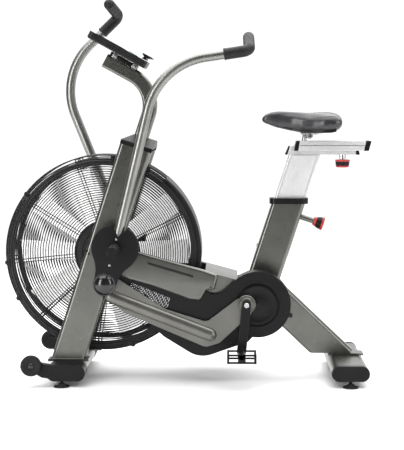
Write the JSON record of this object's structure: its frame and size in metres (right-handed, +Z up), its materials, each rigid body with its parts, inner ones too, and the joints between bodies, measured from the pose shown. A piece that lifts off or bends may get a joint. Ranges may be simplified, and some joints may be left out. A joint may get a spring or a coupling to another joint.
{
  "type": "air bike",
  "caption": "Upright fan exercise bike: caged fan between leaning box uprights, belt-driven pedals, swinging arms with foot pegs, sliding saddle and tilted console.",
  "frame": {"origin": "on the floor, under the middle of the overall box", "axes": "+X to the rear (rider's back), +Y to the rider's right, +Z up; the fan is at -X"},
  "size_m": [1.3696, 0.739, 1.4292],
  "materials": {
    "frame_paint": "satin metallic grey",
    "arm_paint": "satin metallic grey",
    "black_moulding": "satin black",
    "silver_moulding": "silver grey",
    "black_wire": "black powder coat",
    "blade_steel": "light grey",
    "steel": "bare steel",
    "aluminium": "clear anodised",
    "disc_black": "satin black",
    "belt_rubber": "ribbed",
    "grip_rubber": "soft matte",
    "foot_black": "matte black",
    "wheel_rubber": "matte",
    "pedal_plastic": "textured black",
    "knob_plastic": "red and black",
    "console_plastic": "satin dark grey",
    "display": "glossy",
    "button_red": "glossy",
    "button_green": "glossy",
    "vinyl": "glossy black vinyl"
  },
  "bodies": {
    "frame": {"left_upright": "frame_paint", "right_upright": "frame_paint", "top_bridge": "black_moulding", "console_mast": "frame_paint", "front_stabilizer": "frame_paint", "front_boots": "black_moulding", "side_rails": "frame_paint", "cross_beam": "frame_paint", "seat_tube": "frame_paint", "rear_leg": "frame_paint", "rear_stabilizer": "frame_paint", "rear_caps": "black_moulding", "crank_bearings": "steel", "chain_guard_left": "black_moulding", "chain_guard_right": "black_moulding", "side_cover_left": "silver_moulding", "side_cover_right": "silver_moulding", "cage_faces": "black_wire", "cage_hoops": "black_wire", "wind_shroud": "black_moulding", "fan_axle": "steel", "drive_belt": "belt_rubber", "seat_tube_collar": "black_moulding", "foot_pegs": "disc_black", "console_housing": "console_plastic", "console_lens": "display", "console_brackets": "aluminium", "frame_bolts": "steel"},
    "crank": {"crank_axle": "steel", "crank_pulley": "aluminium", "crank_discs": "disc_black", "crank_arms": "frame_paint", "pedal_spindles": "steel"},
    "fan": {"fan_hub": "steel", "fan_blades": "blade_steel", "fan_pulley": "aluminium", "fan_bearings": "steel"},
    "left_rod": {"conrod_left": "arm_paint"},
    "right_rod": {"conrod_right": "arm_paint"},
    "left_pedal": {"pedal_left": "pedal_plastic"},
    "right_pedal": {"pedal_right": "pedal_plastic"},
    "left_arm": {"arm_tube_left": "arm_paint", "arm_cover_left": "black_moulding", "grip_left": "grip_rubber"},
    "right_arm": {"arm_tube_right": "arm_paint", "arm_cover_right": "black_moulding", "grip_right": "grip_rubber"},
    "post": {"seat_post": "aluminium"},
    "slider": {"seat_slider": "aluminium"},
    "saddle": {"saddle": "vinyl"},
    "post_knob": {"post_knob": "knob_plastic"},
    "slider_knob": {"slider_knob": "knob_plastic"},
    "left_wheel": {"wheel_left": "wheel_rubber"},
    "right_wheel": {"wheel_right": "wheel_rubber"},
    "front_left_foot": {"foot_front_left": "foot_black"},
    "front_right_foot": {"foot_front_right": "foot_black"},
    "rear_left_foot": {"foot_rear_left": "foot_black"},
    "rear_right_foot": {"foot_rear_right": "foot_black"},
    "start_button": {"start_button": "button_green"},
    "stop_button": {"stop_button": "button_red"}
  },
  "joints": [
    {"name": "crank_spin", "type": "hinge", "parent": "frame", "child": "crank", "pos_m": [0.259, 0, 0.292], "axis": [0, 1, 0], "continuous": true},
    {"name": "fan_spin", "type": "hinge", "parent": "frame", "child": "fan", "pos_m": [-0.317, 0, 0.472], "axis": [0, 1, 0], "continuous": true},
    {"name": "left_rod_turn", "type": "hinge", "parent": "crank", "child": "left_rod", "pos_m": [0.21768, -0.19, 0.29583], "axis": [0, 1, 0], "continuous": true},
    {"name": "right_rod_turn", "type": "hinge", "parent": "crank", "child": "right_rod", "pos_m": [0.30032, 0.19, 0.28817], "axis": [0, 1, 0], "continuous": true},
    {"name": "left_pedal_spin", "type": "hinge", "parent": "crank", "child": "left_pedal", "pos_m": [0.1998, -0.28, 0.12577], "axis": [0, 1, 0], "continuous": true},
    {"name": "right_pedal_spin", "type": "hinge", "parent": "crank", "child": "right_pedal", "pos_m": [0.3182, 0.28, 0.45823], "axis": [0, 1, 0], "continuous": true},
    {"name": "left_arm_swing", "type": "hinge", "parent": "frame", "child": "left_arm", "pos_m": [-0.26, -0.222, 0.507], "axis": [0, 1, 0], "range_deg": [-35.38, 0]},
    {"name": "right_arm_swing", "type": "hinge", "parent": "frame", "child": "right_arm", "pos_m": [-0.26, 0.222, 0.507], "axis": [0, 1, 0], "range_deg": [0, 35.38]},
    {"name": "seat_post_height", "type": "slide", "parent": "frame", "child": "post", "axis": [0.309, 0, 0.9511], "range_m": [-0.13, 0.06]},
    {"name": "seat_fore_aft", "type": "slide", "parent": "post", "child": "slider", "axis": [1, 0, 0], "range_m": [-0.075, 0.04]},
    {"name": "saddle_tilt", "type": "hinge", "parent": "slider", "child": "saddle", "pos_m": [0.455, 0, 0.911], "axis": [0, 1, 0], "range_deg": [-12, 12]},
    {"name": "post_knob_pull", "type": "slide", "parent": "frame", "child": "post_knob", "axis": [0.9511, 0, -0.309], "range_m": [0, 0.012], "stiffness_N_per_m": 1200, "springref_m": -0.006},
    {"name": "slider_knob_pull", "type": "slide", "parent": "post", "child": "slider_knob", "axis": [0, 0, -1], "range_m": [0, 0.012], "stiffness_N_per_m": 1200, "springref_m": -0.006},
    {"name": "left_wheel_spin", "type": "hinge", "parent": "frame", "child": "left_wheel", "pos_m": [-0.564, -0.276, 0.082], "axis": [0, 1, 0], "continuous": true},
    {"name": "right_wheel_spin", "type": "hinge", "parent": "frame", "child": "right_wheel", "pos_m": [-0.564, 0.276, 0.082], "axis": [0, 1, 0], "continuous": true},
    {"name": "front_left_foot_level", "type": "slide", "parent": "frame", "child": "front_left_foot", "axis": [0, 0, -1], "range_m": [0, 0.015]},
    {"name": "front_right_foot_level", "type": "slide", "parent": "frame", "child": "front_right_foot", "axis": [0, 0, -1], "range_m": [0, 0.015]},
    {"name": "rear_left_foot_level", "type": "slide", "parent": "frame", "child": "rear_left_foot", "axis": [0, 0, -1], "range_m": [0, 0.015]},
    {"name": "rear_right_foot_level", "type": "slide", "parent": "frame", "child": "rear_right_foot", "axis": [0, 0, -1], "range_m": [0, 0.015]},
    {"name": "start_button_press", "type": "slide", "parent": "frame", "child": "start_button", "axis": [-0.4802, 0, -0.8771], "range_m": [0, 0.002], "stiffness_N_per_m": 600, "springref_m": -0.001},
    {"name": "stop_button_press", "type": "slide", "parent": "frame", "child": "stop_button", "axis": [-0.4802, 0, -0.8771], "range_m": [0, 0.002], "stiffness_N_per_m": 600, "springref_m": -0.001}
  ],
  "couplings": [
    {"joint": "fan_spin", "follows": "crank_spin", "ratio": 3.3333},
    {"joint": "left_rod_turn", "follows": "crank_spin", "ratio": -1},
    {"joint": "right_rod_turn", "follows": "crank_spin", "ratio": -1},
    {"joint": "right_arm_swing", "follows": "left_arm_swing", "ratio": -1}
  ]
}
